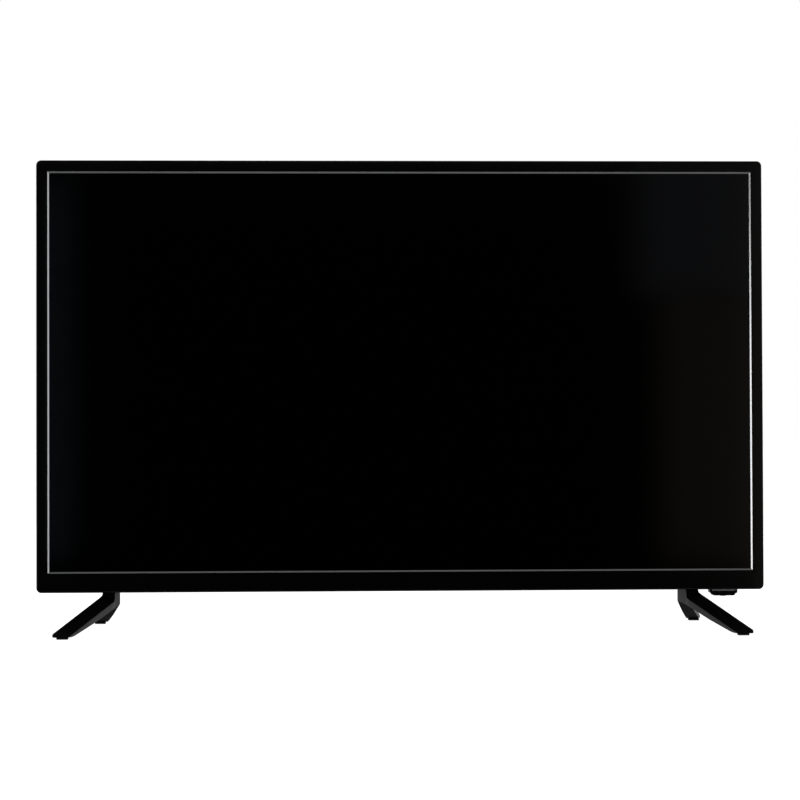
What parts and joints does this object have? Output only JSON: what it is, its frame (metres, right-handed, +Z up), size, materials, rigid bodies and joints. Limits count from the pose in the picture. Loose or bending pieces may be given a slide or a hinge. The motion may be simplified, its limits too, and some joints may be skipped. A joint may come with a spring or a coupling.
{
  "type": "flat screen television",
  "caption": "Flat screen television with a thin black bezel, bright bevel round the picture, deeper lower back and two splayed feet.",
  "frame": {"origin": "on the table, under the middle of the cabinet and midway between the front and rear toes", "axes": "+X to the viewer's right, +Y to the back, +Z up; the screen faces -Y"},
  "size_m": [0.726, 0.184, 0.47],
  "materials": {
    "bezel": "gloss black moulded plastic",
    "trim": "bright bevelled strip",
    "foam": "black foam",
    "polariser": "dark film with a satin face",
    "panel_glass": "dark laminated glass",
    "film_amber": "flexible amber film",
    "circuit_green": "green circuit board",
    "circuit_tan": "tan circuit board",
    "frame_white": "white moulded plastic",
    "diffuser": "milky light-spreading sheet",
    "lens": "clear moulded lens",
    "sheet_steel": "zinc-coated sheet steel",
    "bright_steel": "turned bright steel",
    "component_black": "black moulded component",
    "heatsink": "extruded aluminium",
    "socket_metal": "folded plated steel",
    "socket_black": "black socket moulding",
    "header_ivory": "ivory connector moulding",
    "lead_dark": "black insulated wire",
    "lead_pale": "pale insulated wire",
    "lead_yellow": "yellow insulated wire",
    "speaker_steel": "black coated steel",
    "cone_paper": "black pressed paper",
    "tab_plastic": "dark see-through plastic for infra-red light",
    "window_grey": "pale grey translucent strip",
    "cover_plastic": "black moulded plastic with a fine texture",
    "foot_plastic": "black moulded plastic",
    "pad_rubber": "black rubber",
    "screw_black": "blackened screw"
  },
  "bodies": {
    "cabinet": {"front_bezel": "bezel", "screen_trim": "trim", "panel_gasket": "foam", "front_polarizer": "polariser", "lcd_cell": "panel_glass", "driver_films": "film_amber", "source_board": "circuit_green", "middle_frame": "frame_white", "optical_films": "diffuser", "diffuser_plate": "diffuser", "plate_posts": "frame_white", "reflector_sheet": "diffuser", "led_bars": "frame_white", "led_lenses": "lens", "rear_chassis": "sheet_steel", "vesa_standoffs": "bright_steel", "main_board": "circuit_green", "board_chips": "component_black", "chip_heatsink": "heatsink", "tuner_can": "socket_metal", "hdmi_sockets": "socket_metal", "usb_socket": "socket_metal", "audio_jacks": "socket_black", "aerial_socket": "socket_metal", "power_board": "circuit_tan", "transformer": "component_black", "mains_capacitor": "component_black", "board_capacitors": "component_black", "mains_inlet": "socket_black", "inlet_pins": "bright_steel", "board_headers": "header_ivory", "board_screws": "bright_steel", "panel_ribbon": "lead_pale", "power_leads": "lead_dark", "backlight_lead": "lead_yellow", "speaker_leads": "lead_dark", "key_lead": "lead_pale", "speaker_boxes": "component_black", "speaker_frames": "speaker_steel", "speaker_magnets": "speaker_steel", "left_surround": "foam", "right_surround": "foam", "speaker_gaskets": "foam", "ir_housing": "tab_plastic", "ir_window": "window_grey", "ir_receiver": "component_black", "key_board": "circuit_green", "tact_switch": "component_black", "rear_panel": "cover_plastic", "belly_cover": "cover_plastic", "io_plate": "cover_plastic", "cover_screws": "screw_black", "foot_brackets": "sheet_steel", "left_foot": "foot_plastic", "right_foot": "foot_plastic", "foot_pads": "pad_rubber", "foot_screws": "screw_black"},
    "power_key": {"power_key": "tab_plastic"},
    "left_cone": {"left_cone": "cone_paper"},
    "right_cone": {"right_cone": "cone_paper"}
  },
  "joints": [
    {"name": "power_key_press", "type": "slide", "parent": "cabinet", "child": "power_key", "axis": [0, 0, 1], "range_m": [0, 0.0005], "stiffness_N_per_m": 2500, "springref_m": -0.0002},
    {"name": "left_cone_travel", "type": "slide", "parent": "cabinet", "child": "left_cone", "axis": [0, 0, 1], "range_m": [-0.0008, 0.0008], "stiffness_N_per_m": 800, "deforming": ["left_surround"]},
    {"name": "right_cone_travel", "type": "slide", "parent": "cabinet", "child": "right_cone", "axis": [0, 0, 1], "range_m": [-0.0008, 0.0008], "stiffness_N_per_m": 800, "deforming": ["right_surround"]}
  ]
}
